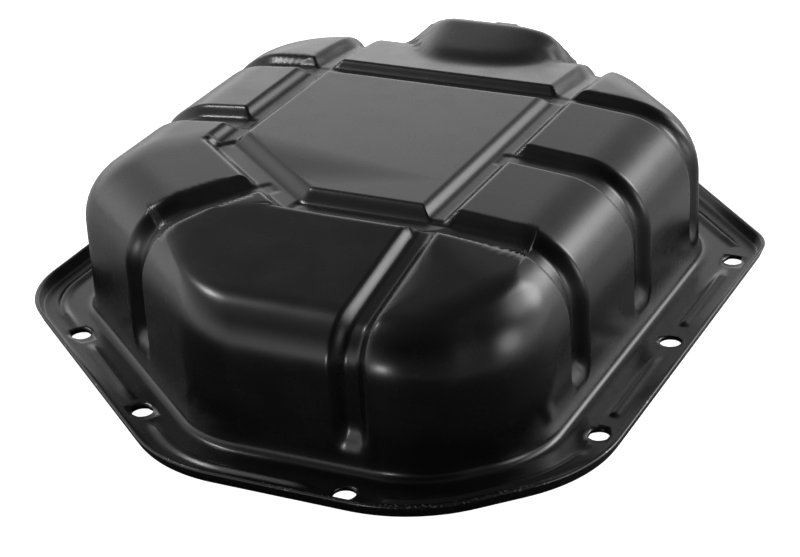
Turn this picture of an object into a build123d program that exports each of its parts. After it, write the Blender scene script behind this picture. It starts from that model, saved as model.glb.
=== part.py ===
from build123d import *
from dataclasses import dataclass
from math import atan, cos, degrees, dist, radians, sin, sqrt, tan
import os

os.makedirs("parts", exist_ok=True)

# Engine oil pan, pressed from one steel sheet, with its drain plug, sealing washer and weld nut.
# It stands on its sealing face: the flange is at the bottom and the pan's floor is on top.
# Origin: middle of the flange, on the sealing face.  X across, Y along, +Z up.  Millimetres.

# --- sheet ---------------------------------------------------------------------------------
sheet = 1.2                 # thickness of the pressing
deck = 56.5                 # height of the flat middle of the floor above the sealing face
foot_radius = 3.0           # outside radius where the walls meet the flange
level_count = 6             # levels at which the rounded top of the bowl is laid out

# --- walls: distance of each from the origin -------------------------------------------------
right_wall = 90.4
left_wall = 89.1
front_wall = 105.5
back_wall = 105.5
front_cut = 120.4           # across the front right corner
back_cut = 112.7            # across the back right corner
long_cut = 86.0             # the long sloping wall at the front left
long_cut_turn = 230.9       # direction that it faces, in degrees from the X axis
wide_corner = 35.0          # plan radii of the wall corners
tight_corner = 24.0

# --- floor: it is flat in the middle and falls to shoulders above the walls -------------------
right_flat = 48.9           # distance from the origin at which the floor starts to fall
left_flat = 53.1
front_flat = 49.5
back_flat = 62.5
front_cut_flat = 64.7
back_cut_flat = 75.0
long_cut_flat = 43.6
side_fall = 0.09            # slopes
cut_fall = 0.12
long_cut_fall = 0.075
front_fall = 0.20
side_shoulder = 24.0        # shoulder radii
back_shoulder = 20.0
front_shoulder = 16.0
long_cut_shoulder = 21.0

# --- stiffening grooves --------------------------------------------------------------------
groove_width = 12.0         # over the rounded lips
wide_groove = 15.0
groove_depth = 3.4          # the short ones; the others differ a little
back_groove_depth = 2.9
long_groove_depth = 3.1
front_groove_depth = 4.0
slant_groove_depth = 3.6
branch_groove_depth = 3.8
groove_side = 48.0          # slope of the sides, in degrees
groove_lip = 0.6            # depth of the softer slope along each lip
groove_lip_side = 20.0
fall_radius = 60.0          # bend of a groove where the floor starts to fall
groove_stop = 14.0          # height at which a groove starts to run out of a wall
groove_runout = 8.0         # radius of that run-out, and how far it turns in degrees
groove_runout_turn = 65.0
back_groove_y = 57.5
middle_groove_y = 6.7
front_groove_y = -46.1
left_groove_x = -47.4
right_groove_x = 43.0
slant_groove = 38.1         # distance from the origin, parallel to the long sloping wall
branch_groove = 9.8         # place along that wall of the groove that runs down it

# --- flange --------------------------------------------------------------------------------
flange_width = 18.2         # beyond the straight walls
left_flange = 19.5
cut_flange = 16.6           # beyond the sloping walls
flange_wide_corner = 48.0   # plan radii of the flange corners
flange_left_corner = 36.0
flange_tight_corner = 16.0
lip_height = 5.0
lip_flare = 22.0            # degrees that the lip leans out
lip_bend = 1.0              # inside size of the bend below the lip
bolt_edge = 7.2             # bolt centres to the flange edge
bolt_hole = 7.0             # clearance hole for an M6 bolt
bolt_pitch = 62.0
side_bolt_y = 1.5           # middle bolt of the right side
front_bolt_x = 45.8
back_bolt_x = -2.5
back_cut_bolt = 33.0        # places along the sloping sides
long_cut_bolts = (-24.8, 33.8)
bead_width = 4.0            # raised bead between bolts, hollow beneath
bead_height = 0.8
bead_gap = 10.5             # bolt centre to the end of a bead

# --- drain ---------------------------------------------------------------------------------
ramp_start = 69.0           # front edge of the ramp that makes room for the drain
ramp_left = -14.0
ramp_right = 15.4
ramp_rise = 0.20
ramp_cut_rise = 0.30        # slope and turn of the ramp's right facet
ramp_cut_turn = 45.0
ramp_flank_rise = 0.60      # slope and turn of its left flank
ramp_flank_turn = 121.0
ramp_end_left = -29.5       # steep ends beside the drain wall
ramp_end_right = 31.0
ramp_end_side = 70.0        # slope of those ends, in degrees
ramp_crest = 3.5            # radius along the top of the drain wall
ramp_base = 34.0            # height at which the drain wall grows out of the bowl
drain_x = -1.9
drain_z = 48.8
thread = 12.0               # M12
thread_clearance = 0.1      # the nut's bore over the plug's shank, on the radius
drain_hole_clearance = 0.5  # the hole through the sheet over the thread, on the radius
nut_across_flats = 17.0
nut_thickness = 9.0
nut_chamfer = 1.0
washer_outside = 18.5
washer_thickness = 1.5
plug_flange = 18.0
plug_flange_thickness = 2.5
plug_across_flats = 14.0
plug_head = 7.0             # hexagon above the plug's flange
plug_length = 14.0          # shank below the flange
plug_point = 1.5            # chamfer at its tip


@dataclass(frozen=True)
class Side:
    """One straight wall, with its share of the floor and of the flange."""

    turn: float             # direction that it faces, in degrees from the X axis
    wall: float             # distances from the origin
    flat: float
    edge: float
    fall: float             # slope of the floor down to the shoulder
    shoulder: float
    corner: float           # plan radius of the wall corner to the next side
    edge_corner: float      # plan radius of the flange corner to the next side

    def place(self, out: float, along: float) -> Vector:
        """Point at a distance from the origin towards this side, and along it."""
        a = radians(self.turn)
        return Vector(out * cos(a) - along * sin(a), out * sin(a) + along * cos(a))

    def shoulder_start(self, inset: float) -> float:
        """Height at which the wall starts to round over."""
        lean = atan(self.fall)
        end = self.wall - self.shoulder + (self.shoulder - inset) * sin(lean)
        top = deck - inset - self.fall * (end - self.flat)
        return top - (self.shoulder - inset) * cos(lean)

    def reach(self, z: float, inset: float) -> float:
        """Distance of the bowl's face from the origin at height z."""
        radius = self.shoulder - inset
        start = self.shoulder_start(inset)
        if z <= start:
            return self.wall - inset
        if z <= start + radius * cos(atan(self.fall)):
            return self.wall - self.shoulder + sqrt(radius**2 - (z - start) ** 2)
        return self.flat + (deck - inset - z) / self.fall


front_right = Side(-45, front_cut, front_cut_flat, front_cut + cut_flange, cut_fall,
                   side_shoulder, wide_corner, flange_wide_corner)
right = Side(0, right_wall, right_flat, right_wall + flange_width, side_fall,
             side_shoulder, wide_corner, flange_tight_corner)
back_right = Side(45, back_cut, back_cut_flat, back_cut + cut_flange, side_fall,
                  side_shoulder, wide_corner, flange_tight_corner)
back = Side(90, back_wall, back_flat, back_wall + flange_width, side_fall,
            back_shoulder, wide_corner, flange_wide_corner)
left = Side(180, left_wall, left_flat, left_wall + left_flange, side_fall,
            side_shoulder, tight_corner, flange_left_corner)
front_left = Side(long_cut_turn, long_cut, long_cut_flat, long_cut + cut_flange, long_cut_fall,
                  long_cut_shoulder, wide_corner, flange_wide_corner)
front = Side(270, front_wall, front_flat, front_wall + flange_width, front_fall,
             front_shoulder, wide_corner, flange_wide_corner)
sides = (front_right, right, back_right, back, left, front_left, front)


# --- outlines ------------------------------------------------------------------------------
def crossing(a: Side, a_out: float, b: Side, b_out: float) -> tuple:
    """Where the lines of two sides cross in plan."""
    ta, tb = radians(a.turn), radians(b.turn)
    spread = sin(tb - ta)
    x = (a_out * sin(tb) - b_out * sin(ta)) / spread
    y = (b_out * cos(ta) - a_out * cos(tb)) / spread
    return (x, y)


def rounded(z: float, outs: list, radii: list) -> Sketch:
    """Closed outline at height z with the given side distances and corner radii."""
    count = len(sides)
    points = []
    for k, out in enumerate(outs):
        points.append(crossing(sides[k], out, sides[(k + 1) % count], outs[(k + 1) % count]))
    with BuildSketch(Plane.XY.offset(z)) as outline:
        with BuildLine():
            Polyline(*points, close=True)
        make_face()
        for k, point in enumerate(points):
            turn = (sides[(k + 1) % count].turn - sides[k].turn) % 360
            room = min(dist(points[k - 1], point), dist(point, points[(k + 1) % count]))
            radius = min(radii[k], 0.45 * room / tan(radians(turn / 2)))
            corner = outline.vertices().sort_by_distance((*point, z))[0]
            fillet(corner, radius)
    return outline.sketch


def ring(z: float, inset: float) -> Sketch:
    """Outline of the bowl at height z, for its outer face (inset 0) or its inner face."""
    outs = [side.reach(z, inset) for side in sides]
    radii = []
    for k, side in enumerate(sides):
        after = sides[(k + 1) % len(sides)]
        loss = max(side.wall - side.reach(z, inset), after.wall - after.reach(z, inset))
        radii.append(max(side.corner - loss, foot_radius))
    return rounded(z, outs, radii)


def flange_outline(z: float, growth: float) -> Sketch:
    """Outline of the flange, grown or shrunk by growth."""
    outs = [side.edge + growth for side in sides]
    radii = [side.edge_corner + growth for side in sides]
    return rounded(z, outs, radii)


# --- bowl ----------------------------------------------------------------------------------
def bowl(inset: float) -> Part:
    """The bowl with the flange below it; its hollow is the same form, set in by the sheet."""
    top = deck - inset
    foot = sheet - inset
    low = min(side.shoulder_start(inset) for side in sides)
    heights = [low + (top - low) * sin(radians(90 * k / level_count)) for k in range(level_count)]
    levels = [ring(z, inset) for z in (*heights, top)]
    plate = flange_outline(foot, 0)
    with BuildPart() as body:
        add(plate)
        extrude(amount=-sheet)
        add(levels[0])
        extrude(amount=foot - low)
        mouth = faces().filter_by_position(Axis.Z, foot - 0.01, foot + 0.01).sort_by(SortBy.AREA)[-1]
        fillet(mouth.inner_wires()[0].edges(), foot_radius + inset)
    with BuildPart() as crown:
        for level in levels:
            add(level)
        loft(ruled=True)
    with BuildPart() as whole:
        add(body.part)
        add(crown.part)
    return whole.part


# --- grooves -------------------------------------------------------------------------------
def groove_section(plane: Plane, width: float, depth: float, inset: float) -> Sketch:
    """Section of a groove: sloping sides, flat floor and soft outer lips; the inner face is wider."""
    lip_slope = tan(radians(groove_lip_side))
    side_slope = tan(radians(groove_side))
    half = width / 2 + inset * tan(radians(groove_side / 2))
    lip_foot = half - groove_lip / lip_slope
    floor = lip_foot - (depth - groove_lip) / side_slope
    above = 1.0
    outer_lip = [(lip_foot, -groove_lip), (half + above / lip_slope, above)]
    inner_lip = [(lip_foot + (groove_lip + above) / side_slope, above)]
    edge = [(floor, -depth), *(inner_lip if inset else outer_lip)]
    with BuildSketch(plane) as section:
        with BuildLine():
            Polyline(*edge, *[(-x, y) for x, y in reversed(edge)], close=True)
        make_face()
    return section.sketch


def groove_line(side: Side, start: Vector, inset: float) -> Curve:
    """Line of a groove from a point on the flat floor to a side, over its shoulder and down its wall."""
    towards = side.place(1, 0)
    begin = start.dot(towards)
    top = deck - inset
    upright = Plane(origin=start - towards * begin, x_dir=towards, z_dir=towards.cross(Vector(0, 0, 1)))
    lean = atan(side.fall)
    radius = side.shoulder - inset
    edge = side.wall - side.shoulder + radius * sin(lean)
    with BuildLine(upright) as path:
        level = Line((begin, top), (side.flat - fall_radius * tan(lean / 2), top))
        bend = JernArc(level @ 1, level % 1, fall_radius, -degrees(lean))
        slope = Line(bend @ 1, (edge, top - side.fall * (edge - side.flat)))
        over = JernArc(slope @ 1, slope % 1, radius, degrees(lean) - 90)
        down = Line(over @ 1, (side.wall - inset, groove_stop))
        JernArc(down @ 1, down % 1, groove_runout + inset, groove_runout_turn)
    return path.line


def groove(ends: list, start: Vector, width: float, depth: float, inset: float) -> Part:
    """Groove through a point on the flat floor to the walls named in ends."""
    with BuildLine() as path:
        for side in ends:
            add(groove_line(side, start, inset))
    line = path.wire()
    first = line @ 0
    outward = Vector(0, 0, 1)
    for side in ends:
        if first.dot(side.place(1, 0)) > side.flat:
            outward = side.place(1, 0)
    plane = Plane(origin=first, x_dir=outward.cross(line % 0), z_dir=line % 0)
    section = groove_section(plane, width, depth, inset)
    with BuildPart() as channel:
        sweep(sections=section, path=line)
    return channel.part


def grooves(inset: float) -> list:
    """Every groove, as the solids that are pressed into the bowl."""
    turn = radians(long_cut_turn)
    slant_start = Vector(left_groove_x, (slant_groove - left_groove_x * cos(turn)) / sin(turn))
    slant_end = Vector((slant_groove - front_groove_y * sin(turn)) / cos(turn), front_groove_y)
    branch = front_left.place(slant_groove, branch_groove)
    channels = [
        groove([left, right], Vector(0, back_groove_y), groove_width, back_groove_depth, inset),
        groove([back, front], Vector(right_groove_x, 0), groove_width, long_groove_depth, inset),
        groove([back], slant_start, groove_width, long_groove_depth, inset),
        groove([right], Vector(right_groove_x, middle_groove_y), wide_groove, groove_depth, inset),
        groove([left], Vector(left_groove_x, middle_groove_y), wide_groove, groove_depth, inset),
        groove([right], slant_end, wide_groove, front_groove_depth, inset),
        groove([front_left], branch, wide_groove, branch_groove_depth, inset),
    ]
    run = slant_end - slant_start
    plane = Plane(origin=slant_start + Vector(0, 0, deck - inset), x_dir=front_left.place(-1, 0),
                  z_dir=run)
    section = groove_section(plane, wide_groove, slant_groove_depth, inset)
    with BuildPart() as slant:
        extrude(section, amount=run.length, dir=run)
    return [*channels, slant.part]


# --- ramp over the drain ---------------------------------------------------------------------
def rising(x: float, y: float, z: float, turn: float, slope: float, inset: float) -> Plane:
    """Plane through a point that rises at a slope to the left of a level line at the given turn."""
    a = radians(turn)
    uphill = Vector(-sin(a), cos(a), slope)
    normal = Vector(slope * sin(a), -slope * cos(a), 1).normalized()
    return Plane(origin=Vector(x, y, z) - normal * inset, x_dir=uphill, z_dir=normal)


def ramp(inset: float) -> Part:
    """Raised ramp that ends in the upright drain wall."""
    foot = deck - back.fall * (ramp_start - back.flat)
    drop = inset * sqrt(1 + ramp_rise**2)
    face = back_wall - inset
    reach = 2 * max(ramp_end_right, -ramp_end_left)
    with BuildPart() as block:
        with BuildSketch(Plane.YZ.offset(-reach)) as profile:
            with BuildLine():
                Polyline(
                    (ramp_start - 10, ramp_base),
                    (face, ramp_base),
                    (face, foot + ramp_rise * (face - ramp_start) - drop),
                    (ramp_start - 10, foot - 10 * ramp_rise - drop),
                    close=True,
                )
            make_face()
            fillet(profile.vertices().group_by(Axis.X)[-1].sort_by(Axis.Y)[-1], ramp_crest - inset)
        extrude(amount=2 * reach)
        steep = tan(radians(ramp_end_side))
        end_height = deck - back.fall * (ramp_start + ramp_end_right - ramp_right - back.flat)
        split(bisect_by=rising(ramp_right, ramp_start, foot, ramp_cut_turn, ramp_cut_rise, inset),
              keep=Keep.BOTTOM)
        split(bisect_by=rising(ramp_left, ramp_start, foot, ramp_flank_turn - 180, ramp_flank_rise,
                               inset), keep=Keep.BOTTOM)
        split(bisect_by=rising(ramp_end_right, back_wall, end_height, 90, steep, inset),
              keep=Keep.BOTTOM)
        split(bisect_by=rising(ramp_end_left, back_wall, end_height, -90, steep, inset),
              keep=Keep.BOTTOM)
    return block.part


def pressed(inset: float) -> Part:
    """The whole outer form, or the hollow inside it."""
    start = bowl(inset)
    dents = grooves(inset)
    bump = ramp(inset)
    with BuildPart() as form:
        add(start)
        add(dents, mode=Mode.SUBTRACT)
        add(bump)
    return form.part


# --- pan shell -------------------------------------------------------------------------------
bolts = [right.place(right.edge - bolt_edge, side_bolt_y + k * bolt_pitch) for k in (-1, 0, 1)]
bolts += [back_right.place(back_right.edge - bolt_edge, back_cut_bolt)]
bolts += [back.place(back.edge - bolt_edge, -back_bolt_x + k * bolt_pitch) for k in (0, 1)]
bolts += [left.place(left.edge - bolt_edge, -side_bolt_y - k * bolt_pitch) for k in (0, 1)]
bolts += [front_left.place(front_left.edge - bolt_edge, along) for along in long_cut_bolts]
bolts += [front.place(front.edge - bolt_edge, front_bolt_x)]

# the lip stands on the flange's outer edge and leans out; its two faces are one sheet apart
lean_out = radians(lip_flare)
lip_inside = sheet * (tan(lean_out) - 1 / cos(lean_out))
lip_foot = flange_outline(0, 0)
lip_hollow = flange_outline(sheet, lip_inside)
with BuildPart() as lip:
    extrude(lip_foot, amount=lip_height, taper=-lip_flare)
    underside = lip.faces().sort_by(Axis.Z)[0]
    chamfer(underside.edges(), lip_bend + sheet / 2)
with BuildPart() as lip_room:
    extrude(lip_hollow, amount=lip_height, taper=-lip_flare)
    underside = lip_room.faces().sort_by(Axis.Z)[0]
    chamfer(underside.edges(), lip_bend)

# beads follow the line of the bolts, and stop short of each of them
bead_line = -bolt_edge
bead_outer = flange_outline(0, bead_line + bead_width / 2)
bead_inner = flange_outline(0, bead_line - bead_width / 2)
channel_outer = flange_outline(0, bead_line + bead_width / 2 - bead_height)
channel_inner = flange_outline(0, bead_line - bead_width / 2 + bead_height)
with BuildPart() as beads:
    extrude(bead_outer, amount=sheet + bead_height)
    extrude(bead_inner, amount=sheet + bead_height, mode=Mode.SUBTRACT)
    with Locations(bolts):
        Cylinder(bead_gap, 4 * sheet, mode=Mode.SUBTRACT)
with BuildPart() as channels:
    extrude(channel_outer, amount=bead_height)
    extrude(channel_inner, amount=bead_height, mode=Mode.SUBTRACT)
    with Locations(bolts):
        Cylinder(bead_gap + bead_height, 4 * sheet, mode=Mode.SUBTRACT)

drain_wall = Plane(origin=(drain_x, back_wall, drain_z), x_dir=(1, 0, 0), z_dir=(0, 1, 0))
outside = pressed(0)
hollow = pressed(sheet)
with BuildPart() as pan_shell:
    add(lip.part)
    add(lip_room.part, mode=Mode.SUBTRACT)
    add(outside)
    add(beads.part)
    add(channels.part, mode=Mode.SUBTRACT)
    add(hollow, mode=Mode.SUBTRACT)
    with Locations(bolts):
        Cylinder(bolt_hole / 2, 4 * sheet, mode=Mode.SUBTRACT)
    with BuildSketch(drain_wall.offset(sheet)):
        Circle(thread / 2 + drain_hole_clearance)
    extrude(amount=-3 * sheet, mode=Mode.SUBTRACT)
pan_shell.part.label = "pan_shell"
export_step(pan_shell.part, "parts/pan_shell.step")

# --- drain nut, washer and plug ----------------------------------------------------------------
with BuildPart() as drain_nut:
    with BuildSketch(drain_wall.offset(-sheet)):
        RegularPolygon(nut_across_flats / 2, 6, major_radius=False)
        Circle(thread / 2 + thread_clearance, mode=Mode.SUBTRACT)
    extrude(amount=-nut_thickness)
    chamfer(drain_nut.faces().sort_by(Axis.Y)[0].outer_wire().edges(), nut_chamfer)
drain_nut.part.label = "drain_nut"
export_step(drain_nut.part, "parts/drain_nut.step")

with BuildPart() as drain_washer:
    with BuildSketch(drain_wall):
        Circle(washer_outside / 2)
        Circle(thread / 2 + drain_hole_clearance, mode=Mode.SUBTRACT)
    extrude(amount=washer_thickness)
drain_washer.part.label = "drain_washer"
export_step(drain_washer.part, "parts/drain_washer.step")

seat = drain_wall.offset(washer_thickness)
with BuildPart() as drain_plug:
    with BuildSketch(seat):
        Circle(plug_flange / 2)
    extrude(amount=plug_flange_thickness)
    with BuildSketch(seat.offset(plug_flange_thickness)):
        RegularPolygon(plug_across_flats / 2, 6, major_radius=False)
    extrude(amount=plug_head)
    with BuildSketch(seat):
        Circle(thread / 2)
    extrude(amount=-plug_length)
    chamfer(drain_plug.faces().sort_by(Axis.Y)[0].edges(), plug_point)
drain_plug.part.label = "drain_plug"
export_step(drain_plug.part, "parts/drain_plug.step")
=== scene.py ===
"""Engine oil pan: the painted pressing, its drain fittings, the studio and the camera."""
import logging
import math
from dataclasses import dataclass, field
from enum import Enum, IntEnum

import bmesh
import bpy
import numpy as np
from mathutils import Matrix, Vector


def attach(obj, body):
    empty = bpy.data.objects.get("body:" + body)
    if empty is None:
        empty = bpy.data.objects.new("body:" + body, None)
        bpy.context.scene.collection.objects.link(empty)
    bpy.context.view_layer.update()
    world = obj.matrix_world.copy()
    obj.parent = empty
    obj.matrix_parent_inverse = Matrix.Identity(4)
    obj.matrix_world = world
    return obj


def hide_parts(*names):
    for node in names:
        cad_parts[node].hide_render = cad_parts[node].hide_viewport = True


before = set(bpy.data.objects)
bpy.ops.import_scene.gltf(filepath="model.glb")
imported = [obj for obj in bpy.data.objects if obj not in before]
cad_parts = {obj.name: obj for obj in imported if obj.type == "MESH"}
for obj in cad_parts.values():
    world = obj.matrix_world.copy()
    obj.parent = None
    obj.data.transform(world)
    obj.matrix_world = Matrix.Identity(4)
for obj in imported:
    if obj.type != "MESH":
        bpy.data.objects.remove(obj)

MM = 0.001
Colour = tuple[float, float, float]
Socket = bpy.types.NodeSocket
log = logging.getLogger("oil_pan")
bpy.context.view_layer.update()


# --- small helpers ---
def smoothstep(low: float, high: float, value: np.ndarray) -> np.ndarray:
    """Smooth rise from 0 at low to 1 at high.

    Args:
        low: value at which the rise starts.
        high: value at which it ends.
        value: the values to map.

    Returns:
        The mapped values, between 0 and 1.
    """
    t = np.clip((value - low) / (high - low), 0.0, 1.0)
    return t * t * (3.0 - 2.0 * t)


def finish_mesh(bm: bmesh.types.BMesh, name: str, smooth: bool = True) -> bpy.types.Object:
    """Turns a bmesh in millimetres into an object in metres at the origin.

    Args:
        bm: the mesh, freed here.
        name: name of the new object.
        smooth: whether its faces are shaded smooth.

    Returns:
        The new object, linked to the scene.
    """
    bmesh.ops.scale(bm, vec=(MM, MM, MM), verts=bm.verts)
    for face in bm.faces:
        face.smooth = smooth
    mesh = bpy.data.meshes.new(name)
    bm.to_mesh(mesh)
    bm.free()
    piece = bpy.data.objects.new(name, mesh)
    bpy.context.collection.objects.link(piece)
    return piece


class Graph:
    """A node tree, with one short call for each step that the finishes and the studio use."""

    def __init__(self, tree: bpy.types.NodeTree) -> None:
        """Wraps a node tree.

        Args:
            tree: the tree of a material or of the world.
        """
        self.nodes = tree.nodes
        self.links = tree.links

    def feed(self, socket: Socket, value: Socket | float) -> None:
        """Links an input to its source, or sets its number."""
        if isinstance(value, Socket):
            self.links.new(value, socket)
        else:
            socket.default_value = value

    def arithmetic(self, operation: str, first: Socket | float, second: Socket | float) -> Socket:
        """One arithmetic step on sockets or numbers."""
        node = self.nodes.new("ShaderNodeMath")
        node.operation = operation
        self.feed(node.inputs[0], first)
        self.feed(node.inputs[1], second)
        return node.outputs[0]

    def against(self, operation: str, place: Socket, fixed: Vector | Colour) -> Socket:
        """Compares a place or direction with a fixed one, as a distance or a dot product."""
        node = self.nodes.new("ShaderNodeVectorMath")
        node.operation = operation
        node.inputs[1].default_value = fixed
        self.links.new(place, node.inputs[0])
        return node.outputs["Value"]

    def noise(self, place: Socket, size_mm: float, detail: float) -> Socket:
        """Noise with features of the given size."""
        node = self.nodes.new("ShaderNodeTexNoise")
        node.inputs["Scale"].default_value = 1.0 / (size_mm * MM)
        node.inputs["Detail"].default_value = detail
        self.links.new(place, node.inputs["Vector"])
        return node.outputs["Fac"]

    def ramp(self, source: Socket, stops: list[tuple[float, Colour]]) -> Socket:
        """Colour ramp over a factor."""
        node = self.nodes.new("ShaderNodeValToRGB")
        elements = node.color_ramp.elements
        for element, (position, colour) in zip(elements, (stops[0], stops[-1])):
            element.position = position
            element.color = (*colour, 1)
        for position, colour in stops[1:-1]:
            elements.new(position).color = (*colour, 1)
        self.links.new(source, node.inputs["Fac"])
        return node.outputs["Color"]

    def spread(self, source: Socket, low: float, high: float, to_low: float = 0.0,
               to_high: float = 1.0, smooth: bool = False) -> Socket:
        """Maps a range to another one and holds its ends.

        Args:
            source: the factor to map.
            low: its value that becomes to_low.
            high: its value that becomes to_high.
            to_low: start of the new range.
            to_high: end of the new range.
            smooth: whether the ends are eased.

        Returns:
            The mapped factor.
        """
        node = self.nodes.new("ShaderNodeMapRange")
        if smooth:
            node.interpolation_type = "SMOOTHSTEP"
        for key, value in (("From Min", low), ("From Max", high), ("To Min", to_low),
                           ("To Max", to_high)):
            node.inputs[key].default_value = value
        self.links.new(source, node.inputs["Value"])
        return node.outputs["Result"]

    def mix(self, factor: Socket, first: Socket | Colour, second: Socket | Colour) -> Socket:
        """Mixes two colours by a factor."""
        node = self.nodes.new("ShaderNodeMix")
        node.data_type = "RGBA"
        self.links.new(factor, node.inputs["Factor"])
        for socket, value in zip(node.inputs[6:8], (first, second)):
            self.feed(socket, (*value, 1) if isinstance(value, tuple) else value)
        return node.outputs[2]


# --- finishes ---
class Wear(Enum):
    """Where a finish shows bare metal."""

    NONE = "none"
    LIP = "lip"


@dataclass(frozen=True)
class Finish:
    """A procedural surface: colour, gloss, fine texture and wear.

    Attributes:
        name: name of the material.
        colour: its middle colour.
        roughness: its middle roughness.
        metallic: 1 for bare metal.
        ior: index of refraction.
        grain_mm: size of the fine bumps.
        grain_height_mm: their height.
        wave_mm: size of the clouds in colour and gloss.
        roughness_swing: how much the roughness changes over them.
        wear: where bare metal shows.
    """

    name: str
    colour: Colour
    roughness: float
    metallic: float = 0.0
    ior: float = 1.5
    grain_mm: float = 0.6
    grain_height_mm: float = 0.004
    wave_mm: float = 14.0
    roughness_swing: float = 0.08
    wear: Wear = Wear.NONE

    def bare_metal(self, graph: Graph, place: Socket) -> Socket:
        """Small chips along the crest of the lip, in runs.

        Args:
            graph: the material's tree.
            place: coordinates of the surface.

        Returns:
            A mask, 1 on bare metal.
        """
        chip_mm, run_mm = 0.9, 15.0
        edge = graph.nodes.new("ShaderNodeAttribute")
        edge.attribute_name = "crest"
        crest = graph.spread(edge.outputs["Fac"], 0.55, 0.95)
        chips = graph.spread(graph.noise(place, chip_mm, 6.0), 0.58, 0.64)
        runs = graph.spread(graph.noise(place, run_mm, 2.0), 0.45, 0.6)
        return graph.arithmetic("MULTIPLY", crest, graph.arithmetic("MULTIPLY", chips, runs))

    def material(self) -> bpy.types.Material:
        """Builds the node tree.

        Returns:
            The new material.
        """
        mat = bpy.data.materials.new(self.name)
        mat.use_nodes = True
        graph = Graph(mat.node_tree)
        inputs = graph.nodes["Principled BSDF"].inputs
        inputs["IOR"].default_value = self.ior
        inputs["Metallic"].default_value = self.metallic
        place = graph.nodes.new("ShaderNodeTexCoord").outputs["Object"]
        dark = tuple(c * 0.7 for c in self.colour)
        pale = tuple(min(c * 1.5, 1.0) for c in self.colour)
        colour = graph.ramp(graph.noise(place, self.wave_mm, 4.0),
                            [(0.3, dark), (0.55, self.colour), (0.75, pale)])
        if self.wear is Wear.LIP:
            metal = self.bare_metal(graph, place)
            colour = graph.mix(metal, colour, (0.17, 0.166, 0.162))
            graph.feed(inputs["Metallic"], graph.arithmetic("MULTIPLY", metal, 0.85))
        graph.feed(inputs["Base Color"], colour)
        swing = self.roughness_swing / 2
        clouds = graph.noise(place, self.wave_mm * 0.6, 5.0)
        graph.feed(inputs["Roughness"],
                   graph.spread(clouds, 0.35, 0.7, self.roughness - swing, self.roughness + swing))
        grain = graph.nodes.new("ShaderNodeBump")
        grain.inputs["Strength"].default_value = 1.0
        grain.inputs["Distance"].default_value = self.grain_height_mm * MM
        graph.feed(grain.inputs["Height"], graph.noise(place, self.grain_mm, 3.0))
        graph.feed(inputs["Normal"], grain.outputs["Normal"])
        return mat


BLACK_PAINT = Finish("black_paint", (0.0030, 0.0031, 0.0030), 0.27, grain_mm=0.8,
                     grain_height_mm=0.003, wave_mm=18.0, roughness_swing=0.05, wear=Wear.LIP)
PLUG_STEEL = Finish("plug_steel", (0.10, 0.10, 0.11), 0.36, metallic=1.0, grain_mm=0.4,
                    grain_height_mm=0.006, wave_mm=3.0)
WASHER_METAL = Finish("washer_metal", (0.42, 0.42, 0.43), 0.42, metallic=1.0, grain_mm=0.3,
                      grain_height_mm=0.004, wave_mm=2.0)
NUT_PAINT = Finish("nut_paint", (0.014, 0.014, 0.015), 0.34, grain_mm=0.7,
                   grain_height_mm=0.006, wave_mm=5.0)


# --- the pressing, in millimetres ---
class Side(IntEnum):
    """The walls of the bowl, in their order round it."""

    FRONT_CUT = 0
    RIGHT = 1
    BACK_CUT = 2
    BACK = 3
    LEFT = 4
    LONG_CUT = 5
    FRONT = 6


@dataclass(frozen=True)
class Wall:
    """One straight wall of the bowl, with its share of the floor and of the flange.

    Attributes:
        turn: direction that it faces, in degrees from the X axis.
        wall: its distance from the origin.
        flat: distance at which the flat of the floor ends.
        edge: distance of the flange's edge.
        fall: slope of the floor down to the shoulder.
        shoulder: radius of the shoulder.
        corner: plan radius of the wall's corner to the next wall.
        edge_corner: plan radius of the flange's corner to the next side.
        crown: plan radius that the wall's corner keeps up on the floor.
        pace: how far its inner rings move in, as a share of the usual step.
        columns: number of even steps along it, or 0 to step by the grooves.
        arc_columns: number of steps round its corner.
        dense: stretches along it that grooves cross, with close steps.
    """

    turn: float
    wall: float
    flat: float
    edge: float
    fall: float
    shoulder: float
    corner: float
    edge_corner: float
    crown: float = 12.0
    pace: float = 1.0
    columns: int = 0
    arc_columns: int = 14
    dense: tuple[tuple[float, float], ...] = ()

    def shoulder_start(self, deck: float) -> float:
        """Height at which the wall starts to round over."""
        lean = math.atan(self.fall)
        end = self.wall - self.shoulder + self.shoulder * math.sin(lean)
        return deck - self.fall * (end - self.flat) - self.shoulder * math.cos(lean)

    def reach(self, z: float, deck: float) -> float:
        """Distance of the wall or floor from the origin at a height.

        Args:
            z: the height.
            deck: height of the flat middle of the floor.

        Returns:
            The distance.
        """
        start = self.shoulder_start(deck)
        if z <= start:
            return self.wall
        if z <= start + self.shoulder * math.cos(math.atan(self.fall)):
            return self.wall - self.shoulder + math.sqrt(self.shoulder**2 - (z - start) ** 2)
        return self.flat + (deck - z) / self.fall


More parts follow.
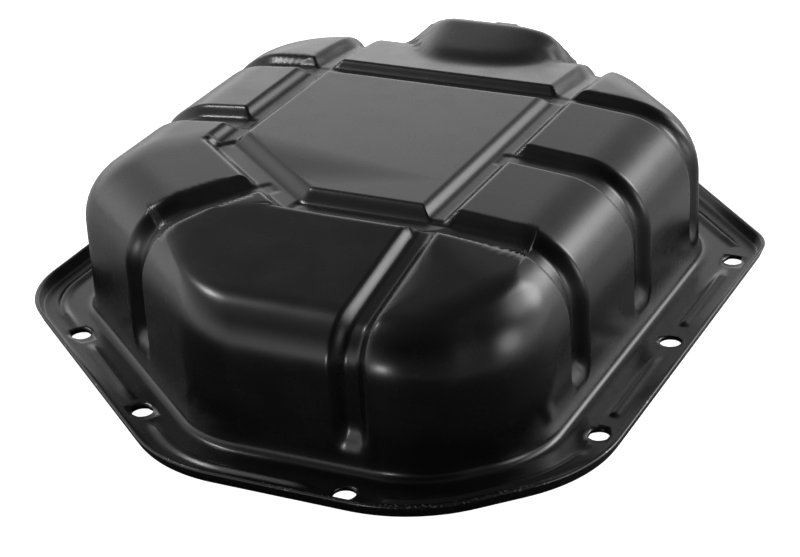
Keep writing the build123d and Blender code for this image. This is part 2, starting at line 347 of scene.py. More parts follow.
@dataclass(frozen=True)
class Groove:
    """A straight pressed channel that runs in a direction, at an offset to the left of it.

    Attributes:
        turn: direction in which it runs, in degrees from the X axis.
        offset: distance of its middle line from the origin.
        width: width over its lips.
        depth: depth of its floor.
        begin: place along it where it begins.
        end: place along it where it ends.
        lip: width of the soft slope along each lip.
        lip_depth: depth of that slope.
        side: slope of its sides.
        soften: how far its profile is eased beyond floor and lips.
        blend: half the length over which it fades at an end.
        past: how far it runs beyond an end before it has half faded.
    """

    turn: float
    offset: float
    width: float
    depth: float
    begin: float = -1000.0
    end: float = 1000.0
    lip: float = 1.65
    lip_depth: float = 0.6
    side: float = 1.11
    soften: float = 0.4
    blend: float = 1.6
    past: float = 1.6

    def dent(self, x: np.ndarray, y: np.ndarray) -> np.ndarray:
        """Depth of the groove at points in plan."""
        a = math.radians(self.turn)
        along = x * math.cos(a) + y * math.sin(a)
        away = np.abs(-x * math.sin(a) + y * math.cos(a) - self.offset)
        half = self.width / 2
        floor = half - self.lip - (self.depth - self.lip_depth) / self.side
        shape = 1.0 - smoothstep(floor - self.soften, half + self.soften, away)
        begin, end = self.begin - self.past, self.end + self.past
        span = smoothstep(begin - self.blend, begin + self.blend, along)
        span = span * (1.0 - smoothstep(end - self.blend, end + self.blend, along))
        return self.depth * shape * span


@dataclass(frozen=True)
class RampPlane:
    """One plane of the ramp over the drain.

    Attributes:
        x, y, z: a point on it.
        turn: direction in which it rises, in degrees anticlockwise from the Y axis.
        slope: how steeply it rises.
    """

    x: float
    y: float
    z: float
    turn: float
    slope: float

    def point_and_normal(self) -> tuple[Vector, Vector]:
        """Its point and its unit normal, which points up."""
        a = math.radians(self.turn)
        normal = Vector((self.slope * math.sin(a), -self.slope * math.cos(a), 1.0)).normalized()
        return Vector((self.x, self.y, self.z)), normal


@dataclass
class PanShell:
    """The pan itself: one drawn sheet, modelled as its outer face and then given thickness.

    The face is a stack of closed rings with the same number of points, from the crest of the lip
    in over the flange, up the walls and in over the floor. The ramp and the grooves then move
    the points.
    """

    # sheet, floor and walls
    deck: float = 56.5
    sheet: float = 1.2
    foot: float = 3.0
    walls: list[Wall] = field(default_factory=lambda: [
        Wall(-45, 120.4, 64.7, 137.0, 0.12, 24, 35, 48, crown=10, pace=1.3, columns=12,
             arc_columns=18),
        Wall(0, 90.4, 48.9, 108.6, 0.09, 24, 35, 16, crown=8, arc_columns=18,
             dense=((-54.6, -37.6), (-1.8, 15.2), (50.5, 64.5))),
        Wall(45, 112.7, 75.0, 129.3, 0.09, 24, 35, 16, crown=8, pace=1.3, arc_columns=18,
             columns=12),
        Wall(90, 105.5, 62.5, 123.7, 0.09, 20, 35, 48, crown=4, arc_columns=30,
             dense=((-50.0, -36.0), (40.4, 54.4))),
        Wall(180, 89.1, 53.1, 108.6, 0.09, 24, 24, 36, crown=14,
             dense=((-64.5, -50.5), (-15.2, 1.8))),
        Wall(230.9, 86.0, 43.6, 102.6, 0.075, 21, 35, 48, crown=32, arc_columns=28,
             dense=((1.3, 18.3),)),
        Wall(270, 105.5, 49.5, 123.7, 0.20, 16, 35, 48, crown=10, arc_columns=20,
             dense=((36.0, 50.0),)),
    ])
    # steps of the rings and of the places round them
    fine: float = 0.66
    coarse: float = 3.1
    level_step: float = 2.5
    top_band: float = 6.0           # length of wall below the flat floor with close rings
    wall_rings: int = 12
    floor_rings_count: int = 20
    crown_pace: float = 0.6         # plan radius that a corner loses per length its sides move in
    crown_soft: float = 3.0
    corner_room: float = 0.45       # largest share of a side that a corner may take
    squeeze: float = 0.35           # share of a straight's change that its middle stretch takes
    squeeze_end: float = 2.0
    # lip, bolt holes and beads of the flange
    lip_height: float = 5.0
    lip_flare: float = 22.0
    lip_bend: float = 1.0
    flange_top: float = 6.0         # height that only the flange and the foot stay under
    outer_marks: tuple[float, float] = (2.6, 3.8)       # rings beside the beads, from the edge
    inner_marks: tuple[float, float] = (10.6, 11.8)
    foot_marks: tuple[float, float] = (0.34, 0.67)      # rings between flange and foot, as shares
    bolt_edge: float = 7.2
    bolt_radius: float = 3.5
    bolt_pitch: float = 62.0
    side_bolt: float = 1.5
    back_bolt: float = 2.5
    back_cut_bolt: float = 33.0
    long_cut_bolts: tuple[float, float] = (-24.8, 33.8)
    front_bolt: float = 45.8
    bead_width: float = 4.6
    bead_height: float = 0.85
    bead_gap: float = 10.5
    bead_fade: float = 2.5
    # grooves
    groove_width: float = 12.0
    wide_groove: float = 15.0
    back_depth: float = 2.9
    long_depth: float = 3.1
    middle_depth: float = 3.4
    front_depth: float = 4.0
    slant_depth: float = 3.6
    branch_depth: float = 3.8
    left_x: float = -47.4
    right_x: float = 43.0
    back_y: float = 57.5
    middle_y: float = 6.7
    front_y: float = -46.1
    slant: float = 38.1
    branch: float = 9.8
    run_out: tuple[float, float] = (7.0, 15.0)      # heights over which a groove runs out of a wall
    groove_union: int = 10          # exponent with which crossing grooves are joined
    # ramp over the drain
    ramp_start: float = 69.0
    ramp_soft: float = 1.5          # how softly its planes are joined
    ramp_rim: float = 3.0
    ramp_base: float = 34.0         # height on the drain wall down to which it reaches
    ramp_hub: tuple[float, float, float] = (0.0, 70.0, 28.0)    # line that the points move away from
    ramp_planes: list[RampPlane] = field(default_factory=lambda: [
        RampPlane(0.0, 69.0, 55.9, 0.0, 0.127),
        RampPlane(15.4, 69.0, 55.9, 69.0, 0.305),
        RampPlane(-15.0, 74.0, 56.8, -67.9, 0.57),
        RampPlane(24.5, 105.5, 54.5, 90.0, 1.0),
        RampPlane(-29.5, 105.5, 54.5, -90.0, 1.5),
    ])
    # worked out: where each straight ends at the foot, and the places along it
    foot_ends: list[float] = field(init=False)
    places: list[np.ndarray] = field(init=False)

    def __post_init__(self) -> None:
        """Lays out the places that every ring shares."""
        spans = self.spans([w.wall for w in self.walls], [w.corner for w in self.walls])
        self.foot_ends = [end for _, end in spans]
        self.places = [self.places_along(w, *span) for w, span in zip(self.walls, spans)]

    # --- plan ---
    def places_along(self, wall: Wall, start: float, end: float) -> np.ndarray:
        """Places along a wall's straight, closer together where grooves cross it.

        Args:
            wall: the wall.
            start: where its straight starts at the foot.
            end: where it ends.

        Returns:
            The places, from the start to just before the end.
        """
        if wall.columns:
            return start + (end - start) * np.arange(wall.columns) / wall.columns
        places = [start]
        while places[-1] < end:
            here = places[-1]
            step = self.coarse
            for low, high in wall.dense:
                if low <= here < high:
                    step = self.fine
                elif here < low < here + step:
                    step = low - here
            places.append(here + step)
        return np.array(places[:-1])

    def corner_turn(self, k: int) -> float:
        """Angle between wall k and the next one, in radians."""
        after = (k + 1) % len(self.walls)
        return math.radians((self.walls[after].turn - self.walls[k].turn) % 360)

    def crossing(self, k: int, outs: list[float]) -> Vector:
        """Where the lines of wall k and the next one cross in plan."""
        k %= len(self.walls)
        after = (k + 1) % len(self.walls)
        ta, tb = math.radians(self.walls[k].turn), math.radians(self.walls[after].turn)
        spread = math.sin(tb - ta)
        x = (outs[k] * math.sin(tb) - outs[after] * math.sin(ta)) / spread
        y = (outs[after] * math.cos(ta) - outs[k] * math.cos(tb)) / spread
        return Vector((x, y))

    def corner_cuts(self, outs: list[float], radii: list[float]) -> list[tuple[float, float]]:
        """Radius of each corner, limited by its sides, and how far it cuts into them."""
        count = len(self.walls)
        corners = [self.crossing(k, outs) for k in range(count)]
        cuts = []
        for k in range(count):
            after, turn = (k + 1) % count, self.corner_turn(k)
            room = min((corners[k] - corners[k - 1]).length, (corners[after] - corners[k]).length)
            radius = min(radii[k], self.corner_room * room / math.tan(turn / 2))
            cuts.append((radius, radius * math.tan(turn / 2)))
        return cuts

    def spans(self, outs: list[float], radii: list[float]) -> list[tuple[float, float]]:
        """Start and end of each side's straight, measured along it."""
        cuts = self.corner_cuts(outs, radii)
        spans = []
        for k, wall in enumerate(self.walls):
            a = math.radians(wall.turn)
            along = Vector((-math.sin(a), math.cos(a)))
            spans.append((self.crossing(k - 1, outs).dot(along) + cuts[k - 1][1],
                          self.crossing(k, outs).dot(along) - cuts[k][1]))
        return spans

    def outline(self, z: float, outs: list[float], radii: list[float]) -> np.ndarray:
        """Ring of points round a rounded outline.

        Args:
            z: its height.
            outs: distance of each side from the origin.
            radii: radius of the corner after each side.

        Returns:
            An array of points, one row each.
        """
        spans, cuts = self.spans(outs, radii), self.corner_cuts(outs, radii)
        rows = []
        for k, wall in enumerate(self.walls):
            a = math.radians(wall.turn)
            out, along = np.array((math.cos(a), math.sin(a))), np.array((-math.sin(a), math.cos(a)))
            start, end = spans[k]
            first, last = self.places[k][0], self.foot_ends[k]
            low = max(start, first) + self.squeeze_end + self.squeeze * max(start - first, 0.0)
            high = min(end, last) - self.squeeze_end - self.squeeze * max(last - end, 0.0)
            if low < high and not wall.columns:
                places = np.interp(self.places[k], [first, low, high, last], [start, low, high, end])
            else:
                places = np.interp(self.places[k], [first, last], [start, end])
            rows.append(outs[k] * out + places[:, None] * along)
            radius = cuts[k][0]
            centre = (outs[k] - radius) * out + end * along
            angles = a + self.corner_turn(k) * np.arange(wall.arc_columns) / wall.arc_columns
            rows.append(centre + radius * np.stack([np.cos(angles), np.sin(angles)], axis=1))
        plan = np.concatenate(rows)
        return np.column_stack([plan, np.full(len(plan), z)])

    def corners_at(self, outs: list[float]) -> list[float]:
        """Corner radii of the bowl where its sides have come in to outs."""
        loss = [w.wall - out for w, out in zip(self.walls, outs)]
        radii = []
        for k, w in enumerate(self.walls):
            most = max(loss[k], loss[(k + 1) % len(loss)])
            above = w.corner - w.crown - self.crown_pace * most
            radii.append(w.crown + self.crown_soft * math.log1p(math.exp(above / self.crown_soft)))
        return radii

    def bowl_ring(self, z: float) -> np.ndarray:
        """Ring round the bowl at a height."""
        outs = [w.reach(z, self.deck) for w in self.walls]
        return self.outline(z, outs, self.corners_at(outs))

    def flange_ring(self, z: float, growth: float) -> np.ndarray:
        """Ring along the flange's edge, grown or shrunk."""
        outs = [w.edge + growth for w in self.walls]
        return self.outline(z, outs, [w.edge_corner + growth for w in self.walls])

    # --- rings, from the lip inwards ---
    def lip_rings(self) -> list[np.ndarray]:
        """Rings from the crest of the lip down round its bend."""
        flare, bend = math.radians(self.lip_flare), self.lip_bend
        inner = self.sheet * (math.tan(flare) - 1 / math.cos(flare))
        reach = math.pi / 2 - flare
        cut = bend * math.tan(reach / 2)
        rings = []
        for z in np.linspace(self.lip_height, self.sheet + cut * math.sin(reach), 5)[:-1]:
            rings.append(self.flange_ring(float(z), inner + (z - self.sheet) * math.tan(flare)))
        for a in np.linspace(reach, 0, 4):
            growth = inner - cut + bend * math.sin(a)
            rings.append(self.flange_ring(self.sheet + bend * (1 - math.cos(a)), growth))
        return rings

    def flange_rings(self) -> list[np.ndarray]:
        """Rings over the flat of the flange, raised to beads between the bolts."""
        half = self.bead_width / 2
        gaps = [self.bolt_edge - half + self.bead_width * t for t in np.linspace(0, 1, 9)]
        rings = []
        for gap in [*self.outer_marks, *gaps, *self.inner_marks]:
            ring = self.flange_ring(self.sheet, -gap)
            bead = 0.5 + 0.5 * math.cos(math.pi * min(abs(gap - self.bolt_edge) / half, 1.0))
            near = np.full(len(ring), np.inf)
            for bolt in self.bolts():
                near = np.minimum(near, np.hypot(ring[:, 0] - bolt.x, ring[:, 1] - bolt.y))
            clear = smoothstep(self.bead_gap, self.bead_gap + self.bead_fade, near)
            ring[:, 2] += self.bead_height * bead * clear
            rings.append(ring)
        return rings

    def foot_rings(self) -> list[np.ndarray]:
        """Rings round the bend from the flange up into the walls."""
        rings = []
        for a in np.linspace(0, math.pi / 2, 5):
            outs = [w.wall + self.foot * (1 - math.sin(a)) for w in self.walls]
            radii = [w.corner + self.foot * (1 - math.sin(a)) for w in self.walls]
            rings.append(self.outline(self.sheet + self.foot * (1 - math.cos(a)), outs, radii))
        return rings

    def levels(self) -> list[float]:
        """Heights of the rings from the straight walls to the flat floor, evenly far apart."""
        low = min(w.shoulder_start(self.deck) for w in self.walls)
        heights = self.deck - (self.deck - low) * (1 - np.linspace(0, 1, 3000)) ** 2
        steps = np.zeros(len(heights) - 1)
        for w in self.walls:
            out = np.array([w.reach(float(z), self.deck) for z in heights])
            steps = np.maximum(steps, np.hypot(np.diff(out), np.diff(heights)))
        travel = np.concatenate([[0.0], np.cumsum(steps)])
        close = travel[-1] - self.top_band
        marks = np.concatenate([np.linspace(0, close, round(close / self.level_step) + 1)[:-1],
                                np.linspace(close, travel[-1], round(self.top_band / self.fine) + 1)])
        return list(np.interp(marks, travel, heights))

    def bowl_rings(self) -> list[np.ndarray]:
        """Rings up the walls and over the shoulders to the flat of the floor."""
        levels = self.levels()
        straight = np.linspace(self.sheet + self.foot, levels[0], self.wall_rings)[1:-1]
        return [self.bowl_ring(float(z)) for z in (*straight, *levels)]

    def floor_rings(self) -> list[np.ndarray]:
        """Rings in over the rim of the flat floor."""
        radii = self.corners_at([w.flat for w in self.walls])
        rings = []
        for step in np.arange(1, self.floor_rings_count + 1) * self.fine:
            outs = [w.flat - w.pace * float(step) for w in self.walls]
            rings.append(self.outline(self.deck, outs, radii))
        return rings

    def rings(self) -> list[np.ndarray]:
        """Every ring of the outer face, from the crest of the lip to the flat of the floor."""
        flange = self.lip_rings() + self.flange_rings()
        feet = self.foot_rings()
        between = [flange[-1] * (1 - t) + feet[0] * t for t in self.foot_marks]
        return flange + between + feet + self.bowl_rings() + self.floor_rings()

    # --- features ---
    def bolt_place(self, side: Side, along: float) -> Vector:
        """Place of a bolt hole in plan, from its place along a side."""
        a, out = math.radians(self.walls[side].turn), self.walls[side].edge - self.bolt_edge
        return Vector((out * math.cos(a) - along * math.sin(a),
                       out * math.sin(a) + along * math.cos(a)))

    def bolts(self) -> list[Vector]:
        """Places of the flange's bolt holes."""
        along = {
            Side.RIGHT: [self.side_bolt + k * self.bolt_pitch for k in (-1, 0, 1)],
            Side.BACK_CUT: [self.back_cut_bolt],
            Side.BACK: [self.back_bolt + k * self.bolt_pitch for k in (0, 1)],
            Side.LEFT: [-self.side_bolt - k * self.bolt_pitch for k in (0, 1)],
            Side.LONG_CUT: self.long_cut_bolts,
            Side.FRONT: [self.front_bolt],
        }
        return [self.bolt_place(side, place) for side, places in along.items() for place in places]

    def grooves(self) -> list[Groove]:
        """The pressed channels of floor and walls."""
        facing = self.walls[Side.LONG_CUT].turn
        turn = math.radians(facing)
        start = Vector((self.left_x, (self.slant - self.left_x * math.cos(turn)) / math.sin(turn)))
        end = Vector(((self.slant - self.front_y * math.sin(turn)) / math.cos(turn), self.front_y))
        run = Vector((-math.sin(turn), math.cos(turn)))
        narrow, wide = self.groove_width, self.wide_groove
        return [
            Groove(0, self.back_y, narrow, self.back_depth),
            Groove(90, -self.right_x, narrow, self.long_depth),
            Groove(90, -self.left_x, narrow, self.long_depth, begin=start.y),
            Groove(0, self.middle_y, wide, self.middle_depth, begin=self.right_x),
            Groove(180, -self.middle_y, wide, self.middle_depth, begin=-self.left_x),
            Groove(0, self.front_y, wide, self.front_depth, begin=end.x),
            Groove(facing, self.branch, wide, self.branch_depth, begin=self.slant),
            Groove(facing + 90, -self.slant, wide, self.slant_depth, begin=start.dot(run),
                   end=end.dot(run)),
        ]

    def raise_ramp(self, grid: np.ndarray) -> np.ndarray:
        """Pushes the floor and back wall out to the ramp over the drain.

        Args:
            grid: ring points, indexed by ring and by place round the ring.

        Returns:
            The moved points.
        """
        planes = [plane.point_and_normal() for plane in self.ramp_planes]
        planes.append((Vector((0, self.walls[Side.BACK].wall, 0)), Vector((0, 1, 0))))
        reach = grid - np.array(self.ramp_hub)
        reach[..., 0] = 0.0
        reach[..., 1] = np.maximum(reach[..., 1], 0.0)
        reach /= np.maximum(np.linalg.norm(reach, axis=-1, keepdims=True), 1e-6)
        # distance along the reach to the nearest plane, by a soft minimum
        near = np.zeros(grid.shape[:2])
        for point, normal in planes:
            n = np.array(normal)
            gap = (np.array(point) - grid) @ n / np.maximum(reach @ n, 1e-3)
            near += np.exp(-np.clip(gap, -60, 200) / self.ramp_soft)
        room = -self.ramp_soft * np.log(near)
        push = np.where(room > 0, room, 0.0) * smoothstep(0.0, self.ramp_rim, room)
        push *= (grid[..., 1] > self.ramp_start - self.ramp_rim) * (grid[..., 2] > self.ramp_base)
        return grid + reach * push[..., None]

    def press_grooves(self, grid: np.ndarray) -> np.ndarray:
        """Presses the grooves in, square to the surface.

        Args:
            grid: ring points, indexed by ring and by place round the ring.

        Returns:
            The moved points.
        """
        down = np.gradient(grid, axis=0)
        wrapped = np.concatenate([grid[:, -1:], grid, grid[:, :1]], axis=1)
        around = (wrapped[:, 2:] - wrapped[:, :-2]) / 2
        normal = np.cross(around, -down)
        normal /= np.maximum(np.linalg.norm(normal, axis=-1, keepdims=True), 1e-9)
        inside = np.array([0, 0, 10.0])
        normal *= np.sign(np.sum(normal * (grid - inside), axis=-1, keepdims=True))
        x, y, z = grid[..., 0], grid[..., 1], grid[..., 2]
        dents = np.stack([groove.dent(x, y) for groove in self.grooves()])
        dent = (dents**self.groove_union).sum(axis=0) ** (1 / self.groove_union)
        dent *= smoothstep(*self.run_out, z)
        return grid - normal * dent[..., None]

    def open_hole(self, bm: bmesh.types.BMesh, centre: Vector) -> None:
        """Cuts a bolt hole in the flange.

        Args:
            bm: the mesh.
            centre: middle of the hole in plan.
        """
        inside = [f for f in bm.faces if f.calc_center_median().z < self.flange_top
                  and (f.calc_center_median().xy - centre).length < self.bolt_radius]
        bmesh.ops.delete(bm, geom=inside, context="FACES")
        for vert in bm.verts:
            away = vert.co.xy - centre
            if away.length < self.bolt_radius * 2 and vert.is_boundary:
                vert.co.xy = centre + away.normalized() * self.bolt_radius

    def build(self) -> bpy.types.Object:
        """Models the sheet and gives it its thickness.

        Returns:
            The finished pan shell.
        """
        grid = self.press_grooves(self.raise_ramp(np.stack(self.rings())))
        bm = bmesh.new()
        place = bm.verts.layers.int.new("place")
        crest = bm.verts.layers.float.new("crest")
        first = bmesh.ops.create_circle(bm, segments=grid.shape[1], radius=100)["verts"]
        for k, vert in enumerate(first):
            vert[place] = k
            vert[crest] = 1.0
            vert.co = grid[0, k]
        edges = list(bm.edges)
        for number, ring in enumerate(grid[1:], 1):
            made = bmesh.ops.extrude_edge_only(bm, edges=edges)["geom"]
            edges = [g for g in made if isinstance(g, bmesh.types.BMEdge)]
            for vert in (g for g in made if isinstance(g, bmesh.types.BMVert)):
                vert.co = ring[vert[place]]
                vert[crest] = max(0.0, 1.0 - number / 2.0)
        bmesh.ops.contextual_create(bm, geom=edges)
        bmesh.ops.recalc_face_normals(bm, faces=bm.faces)
        floor = max(bm.faces, key=lambda f: len(f.verts))
        floor.normal_update()
        if floor.normal.z < 0:
            bmesh.ops.reverse_faces(bm, faces=bm.faces)
        for bolt in self.bolts():
            self.open_hole(bm, bolt)
        piece = finish_mesh(bm, "pan_sheet")
        wall = piece.modifiers.new("wall", "SOLIDIFY")
        wall.thickness = self.sheet * MM
        wall.offset = -1.0
        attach(piece, "root")
        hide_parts("pan_shell")
        piece.data.materials.append(BLACK_PAINT.material())
        return piece


# --- drain fittings, in millimetres ---
@dataclass
class DrainFittings:
    """The plug, its washer and the weld nut, on one axis through the back wall.

    Attributes:
        face: distance of the back wall's outer face from the origin.
        sheet: thickness of the wall.
    """

    face: float
    sheet: float
    x: float = -1.9
    z: float = 48.8
    thread: float = 12.0
    thread_depth: float = 0.7
    pitch: float = 1.25
    thread_form: tuple[float, float, float] = (0.16, 0.62, 0.78)    # end of root, start and end of crest
    washer_clearance: float = 0.5
    washer_outside: float = 18.5
    washer_thickness: float = 1.5
    washer_edge: float = 0.3
    plug_flange: float = 18.0
    plug_flange_thickness: float = 2.5
    plug_across_flats: float = 14.0
    plug_head: float = 7.0
    plug_length: float = 14.0
    plug_point: float = 0.9
    plug_under: float = 0.5         # rounding of its flange beneath and on top
    plug_over: float = 0.9
    plug_rounding: float = 0.55     # rounding of its hexagon
    nut_across_flats: float = 17.0
    nut_thickness: float = 9.0
    nut_clearance: float = 0.1
    nut_chamfer: float = 0.9
    nut_rim: float = 0.2            # how far its chamfered end stays within its flats
    bore_chamfer: float = 0.5
    steps: int = 72
    sharp_angle: float = 38.0

    def turned(self, bm: bmesh.types.BMesh, profile: list[tuple[float, float]],
               closed: bool = False) -> None:
        """Turns a profile of radius and height round the Z axis.

        Args:
            bm: mesh that receives it.
            profile: its points.
            closed: whether the last point joins the first.
        """
        verts = [bm.verts.new((r, 0, h)) for r, h in profile]
        pairs = list(zip(verts, verts[1:]))
        if closed:
            pairs.append((verts[-1], verts[0]))
        edges = [bm.edges.new(pair) for pair in pairs]
        bmesh.ops.spin(bm, geom=[*verts, *edges], cent=(0, 0, 0), axis=(0, 0, 1),
                       angle=math.tau, steps=self.steps, use_merge=True, use_duplicate=False)
        bmesh.ops.remove_doubles(bm, verts=bm.verts, dist=0.0005)
        bmesh.ops.recalc_face_normals(bm, faces=bm.faces)

    def hexagon(self, bm: bmesh.types.BMesh, low: float, high: float) -> None:
        """Adds the plug's hexagon, with flats up and down and rounded edges.

        Args:
            bm: mesh that receives it.
            low: height of its foot.
            high: height of its top.
        """
        made = bmesh.ops.create_circle(bm, cap_ends=True, segments=6,
                                       radius=self.plug_across_flats / math.sqrt(3),
                                       matrix=Matrix.Translation((0, 0, low))
                                       @ Matrix.Rotation(math.radians(30), 4, "Z"))
        face = made["verts"][0].link_faces[0]
        top = bmesh.ops.extrude_face_region(bm, geom=[face])["geom"]
        verts = [g for g in top if isinstance(g, bmesh.types.BMVert)]
        bmesh.ops.translate(bm, vec=(0, 0, high - low), verts=verts)
        every = set(made["verts"]) | set(verts)
        edges = [e for e in bm.edges if e.verts[0] in every and e.verts[1] in every]
        bmesh.ops.bevel(bm, geom=edges, offset=self.plug_rounding, offset_type="OFFSET", segments=3,
                        profile=0.5, affect="EDGES", material=-1)

    def dress(self, bm: bmesh.types.BMesh, name: str, out: float, node: str,
              finish: Finish) -> bpy.types.Object:
        """Places a piece on the drain's axis and gives it its finish.

        Args:
            bm: its mesh, with Z pointing out of the wall.
            name: name of the piece.
            out: how far its zero lies beyond the wall.
            node: the solid it stands for.
            finish: its surface.

        Returns:
            The piece.
        """
        bmesh.ops.recalc_face_normals(bm, faces=bm.faces)
        axis = (Matrix.Translation((self.x, self.face + out, self.z))
                @ Matrix.Rotation(math.radians(-90), 4, "X"))
        bmesh.ops.transform(bm, matrix=axis, verts=bm.verts)
        piece = finish_mesh(bm, name)
        piece.data.set_sharp_from_angle(angle=math.radians(self.sharp_angle))
        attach(piece, "root")
        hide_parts(node)
        piece.data.materials.append(finish.material())
        return piece

    def threads(self, low: float, high: float, core: float, crest: float) -> list[tuple[float, float]]:
        """Profile of a thread between two heights, from low to high."""
        points = []
        height = low
        root, rise, top = self.thread_form
        while height + self.pitch <= high:
            points += [(core, height), (core, height + root), (crest, height + rise),
                       (crest, height + top)]
            height += self.pitch
        points.append((core, height))
        return points

    def plug(self) -> bpy.types.Object:
        """Screw plug: threaded shank, flange and hexagon head."""
        bm = bmesh.new()
        shank, radius, point = self.plug_length, self.thread / 2, self.plug_point
        rim, thick = self.plug_flange / 2, self.plug_flange_thickness
        core = radius - self.thread_depth
        profile = [(0, -shank), (core - point, -shank), (core, -shank + point)]
        profile += self.threads(-shank + 1.2, -1.6, core, radius)
        under, over = self.plug_under, self.plug_over
        profile += [(core, -0.05), (rim - under, 0.0), (rim - 0.15, 0.15), (rim, under),
                    (rim, thick - over), (rim - 0.25, thick - 0.5), (rim - over, thick - 0.2),
                    (self.plug_across_flats / 2 - 0.4, thick), (0, thick)]
        self.turned(bm, profile)
        self.hexagon(bm, thick - 0.2, thick + self.plug_head)
        return self.dress(bm, "plug_screw", self.washer_thickness, "drain_plug",
                          PLUG_STEEL)

    def washer(self) -> bpy.types.Object:
        """Flat sealing washer with rounded edges."""
        bm = bmesh.new()
        inside, outside = self.thread / 2 + self.washer_clearance, self.washer_outside / 2
        top, edge = self.washer_thickness, self.washer_edge
        self.turned(bm, [(inside, 0), (outside - edge, 0), (outside - 0.1, 0.1), (outside, edge),
                         (outside, top - edge), (outside - 0.1, top - 0.1), (outside - edge, top),
                         (inside, top)], closed=True)
        return self.dress(bm, "washer_ring", 0.0, "drain_washer", WASHER_METAL)

    def nut(self) -> bpy.types.Object:
        """Hexagon weld nut inside the wall, with a chamfered inner end and a bored middle."""
        half, corner = self.nut_across_flats / 2, self.nut_across_flats / math.sqrt(3)
        bore, end = self.thread / 2 + self.nut_clearance, -self.nut_thickness
        # height and largest radius of each ring, up the outside and back down the bore
        rings = [(end, half - self.nut_rim), (end + self.nut_chamfer, corner), (0.0, corner),
                 (0.0, bore), (end + self.bore_chamfer, bore), (end, bore + self.bore_chamfer)]
        bm = bmesh.new()
        verts = bmesh.ops.create_circle(bm, segments=self.steps, radius=1.0)["verts"]
        edges = list({e for v in verts for e in v.link_edges})
        sixth = math.radians(60)
        for number, (height, limit) in enumerate(rings):
            if number:
                made = bmesh.ops.extrude_edge_only(bm, edges=edges)["geom"]
                edges = [g for g in made if isinstance(g, bmesh.types.BMEdge)]
                verts = [g for g in made if isinstance(g, bmesh.types.BMVert)]
            for vert in verts:
                a = math.atan2(vert.co.y, vert.co.x)
                sector = (a - sixth / 2) % sixth - sixth / 2
                radius = min(half / math.cos(sector), limit)
                vert.co = Vector((radius * math.cos(a), radius * math.sin(a), height))
        bmesh.ops.bridge_loops(bm, edges=[e for e in bm.edges if e.is_boundary])
        return self.dress(bm, "weld_nut", -self.sheet, "drain_nut", NUT_PAINT)

    def build(self) -> list[bpy.types.Object]:
        """Makes the three pieces."""
        return [self.plug(), self.washer(), self.nut()]


# --- studio, in metres ---
@dataclass(frozen=True)
class SoftBox:
    """A square lamp aimed at a point."""

    name: str
    place: tuple[float, float, float]
    aim: tuple[float, float, float]
    size: float
    power: float

    def build(self) -> None:
        """Adds the lamp."""
        data = bpy.data.lights.new(self.name, "AREA")
        data.shape = "SQUARE"
        data.size = self.size
        data.energy = self.power
        lamp = bpy.data.objects.new(self.name, data)
        lamp.location = self.place
        towards = Vector(self.aim) - Vector(self.place)
        lamp.rotation_euler = towards.to_track_quat("-Z", "Y").to_euler()
        bpy.context.collection.objects.link(lamp)


@dataclass(frozen=True)
class Glow:
    """A soft patch on the studio's walls, brighter or darker, seen from the object.

    Attributes:
        azimuth: direction of its middle, in degrees clockwise from the Y axis.
        elevation: height of its middle, in degrees.
        inner: degrees from its middle within which it is even.
        outer: degrees from its middle at which it ends.
        level: what it adds to the sky, or the share of the sky that it leaves.
    """

    azimuth: float
    elevation: float
    inner: float
    outer: float
    level: float

    def direction(self) -> Vector:
        """Unit vector towards its middle."""
        a, e = math.radians(self.azimuth), math.radians(self.elevation)
        return Vector((math.sin(a) * math.cos(e), math.cos(a) * math.cos(e), math.sin(e)))

    def mask(self, graph: Graph, way: Socket) -> Socket:
        """1 in its even middle, falling to 0 at its end.

        Args:
            graph: the world's tree.
            way: the direction looked in.

        Returns:
            The mask.
        """
        near = graph.against("DOT_PRODUCT", way, self.direction())
        return graph.spread(near, math.cos(math.radians(self.outer)),
                            math.cos(math.radians(self.inner)), smooth=True)


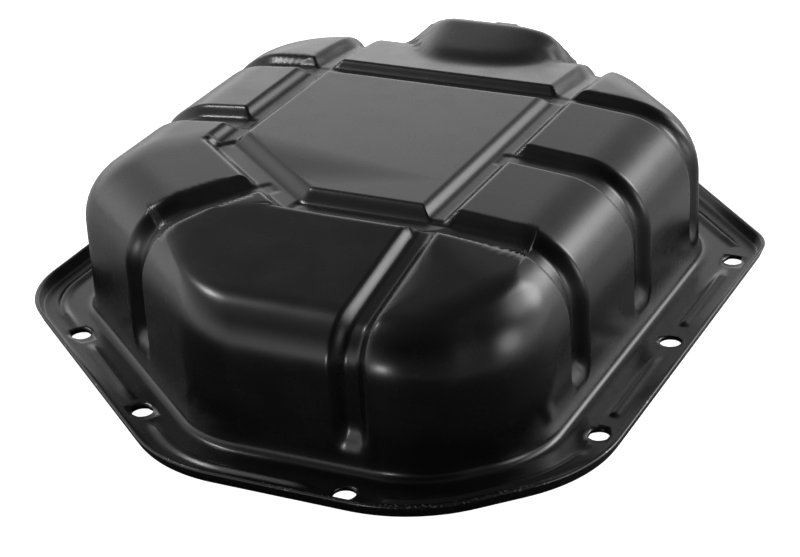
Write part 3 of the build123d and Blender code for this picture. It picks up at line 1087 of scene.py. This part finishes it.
@dataclass
class Studio:
    """Pale floor, soft light and the camera.

    Attributes:
        floor_colour: the floor's own colour.
        mirrored_floor_shade: how bright the paint mirrors the floor, at the middle of the painted shade
            and beyond it.
        painted_shade_centre: middle of a dark patch of painted shade on the floor, which only the mirror
            image shows.
        painted_shade_size: distances from it over which the floor turns bright.
        sky: brightness of the studio over the sine of the height looked at.
        dim_side: the darker side of the studio.
        glows: brighter patches.
        lamps: the lamps.
        focal_px: focal length, in pixels of a frame of frame_px.
        centre_px: where the camera's axis meets the frame.
        camera_at: the camera's place.
        turn, dip, roll: its angles, in degrees.
    """

    floor_colour: Colour = (0.80, 0.80, 0.80)
    # painted shade on the floor, which only the paint's mirror image shows: dark round one point, bright
    # further off
    mirrored_floor_shade: tuple[float, float] = (0.05, 0.75)
    painted_shade_centre: tuple[float, float, float] = (0.05, -0.35, 0.0)
    painted_shade_size: tuple[float, float] = (0.25, 0.5)
    sky: list[tuple[float, float]] = field(default_factory=lambda: [
        (0.0, 1.7), (0.26, 1.8), (0.4, 1.0), (0.5, 0.74), (0.62, 0.24), (0.8, 0.16), (1.0, 0.1)])
    dim_side: Glow = Glow(150, 20, 28, 62, 0.08)
    glows: list[Glow] = field(default_factory=lambda: [
        Glow(-100, 45, 10, 32, 0.4),
        Glow(-28, 11, 5, 15, 0.4),
        Glow(37, 27, 4, 15, 12.0),
        Glow(55, 40, 4, 16, 4.0),
        Glow(92, 18, 4, 15, 5.0),
    ])
    lamps: list[SoftBox] = field(default_factory=lambda: [
        SoftBox("front_left_lamp", (-0.90, 0.04, 1.20), (0, 0, 0.04), 0.12, 3.4),
        SoftBox("camera_side_lamp", (-0.20, -1.48, 0.14), (0, 0, 0.04), 0.14, 3.0),
    ])
    focal_px: float = 2334.0
    frame_px: tuple[float, float] = (800.0, 557.0)
    centre_px: tuple[float, float] = (425.0, 281.2)
    camera_at: tuple[float, float, float] = (0.32125, -0.61345, 0.34763)
    turn: float = 26.37
    dip: float = 26.31
    roll: float = 3.04

    def build_floor(self) -> None:
        """Adds the floor, which is white to the camera and, in the paint's mirror image, mostly dim,
        with painted shade round one point.
        """
        bm = bmesh.new()
        bmesh.ops.create_grid(bm, x_segments=1, y_segments=1, size=4000)
        floor = finish_mesh(bm, "floor", smooth=False)
        mat = bpy.data.materials.new("floor")
        mat.use_nodes = True
        graph = Graph(mat.node_tree)
        shader = graph.nodes["Principled BSDF"]
        shader.inputs["Roughness"].default_value = 0.9
        shader.inputs["Specular IOR Level"].default_value = 0.1
        path = graph.nodes.new("ShaderNodeLightPath")
        spot = graph.nodes.new("ShaderNodeTexCoord").outputs["Object"]
        # painted shade on the floor, for glossy rays only: dark round one point, turning bright further
        # off
        away = graph.against("DISTANCE", spot, self.painted_shade_centre)
        mirror_shade = graph.spread(away, *self.painted_shade_size, *self.mirrored_floor_shade, smooth=True)
        tint = graph.mix(path.outputs["Is Glossy Ray"], self.floor_colour, mirror_shade)
        graph.feed(shader.inputs["Base Color"], tint)
        white = graph.nodes.new("ShaderNodeEmission")
        graph.feed(white.inputs["Strength"], path.outputs["Is Camera Ray"])
        both = graph.nodes.new("ShaderNodeAddShader")
        graph.feed(both.inputs[0], shader.outputs[0])
        graph.feed(both.inputs[1], white.outputs[0])
        graph.feed(graph.nodes["Material Output"].inputs["Surface"], both.outputs[0])
        floor.data.materials.append(mat)

    def build_sky(self) -> None:
        """Sets the world: bright low down, dim overhead and on one side, white to the camera."""
        world = bpy.data.worlds.new("studio")
        bpy.context.scene.world = world
        world.use_nodes = True
        graph = Graph(world.node_tree)
        graph.nodes.clear()
        way = graph.nodes.new("ShaderNodeTexCoord").outputs["Generated"]
        split = graph.nodes.new("ShaderNodeSeparateXYZ")
        graph.feed(split.inputs[0], way)
        sky = graph.ramp(split.outputs["Z"], [(height, (level,) * 3) for height, level in self.sky])
        loss = graph.arithmetic("MULTIPLY", self.dim_side.mask(graph, way), 1.0 - self.dim_side.level)
        total = graph.arithmetic("MULTIPLY", sky, graph.arithmetic("SUBTRACT", 1.0, loss))
        for glow in self.glows:
            patch = graph.arithmetic("MULTIPLY", glow.mask(graph, way), glow.level)
            total = graph.arithmetic("ADD", total, patch)
        lit = graph.nodes.new("ShaderNodeBackground")
        graph.feed(lit.inputs["Strength"], total)
        seen = graph.nodes.new("ShaderNodeBackground")
        seen.inputs["Color"].default_value = (1, 1, 1, 1)
        path = graph.nodes.new("ShaderNodeLightPath")
        chosen = graph.nodes.new("ShaderNodeMixShader")
        graph.feed(chosen.inputs[0], path.outputs["Is Camera Ray"])
        graph.feed(chosen.inputs[1], lit.outputs[0])
        graph.feed(chosen.inputs[2], seen.outputs[0])
        graph.feed(graph.nodes.new("ShaderNodeOutputWorld").inputs["Surface"], chosen.outputs[0])

    def build_camera(self) -> None:
        """Adds the camera."""
        width, height = self.frame_px
        data = bpy.data.cameras.new("camera")
        data.sensor_width = 36.0
        data.lens = self.focal_px / width * data.sensor_width
        data.shift_x = (width / 2 - self.centre_px[0]) / width
        data.shift_y = (self.centre_px[1] - height / 2) / width
        data.clip_end = 50
        camera = bpy.data.objects.new("camera", data)
        turn = Matrix.Rotation(math.radians(self.turn), 4, "Z")
        dip = Matrix.Rotation(math.radians(90 - self.dip), 4, "X")
        roll = Matrix.Rotation(math.radians(-self.roll), 4, "Z")
        camera.matrix_world = Matrix.Translation(self.camera_at) @ turn @ dip @ roll
        bpy.context.collection.objects.link(camera)
        bpy.context.scene.camera = camera

    def build(self) -> None:
        """Adds everything round the object."""
        self.build_floor()
        self.build_sky()
        for lamp in self.lamps:
            lamp.build()
        self.build_camera()
        bpy.context.scene.view_settings.view_transform = "Standard"


def main() -> None:
    """Builds the oil pan and its studio."""
    logging.basicConfig(level=logging.INFO, format="%(name)s: %(message)s")
    pan = PanShell()
    shell = pan.build()
    log.info("%s: %d faces before its thickness", shell.name, len(shell.data.polygons))
    for piece in DrainFittings(face=pan.walls[Side.BACK].wall, sheet=pan.sheet).build():
        log.info("%s: %d faces", piece.name, len(piece.data.polygons))
    Studio().build()


if __name__ == "__main__":
    main()
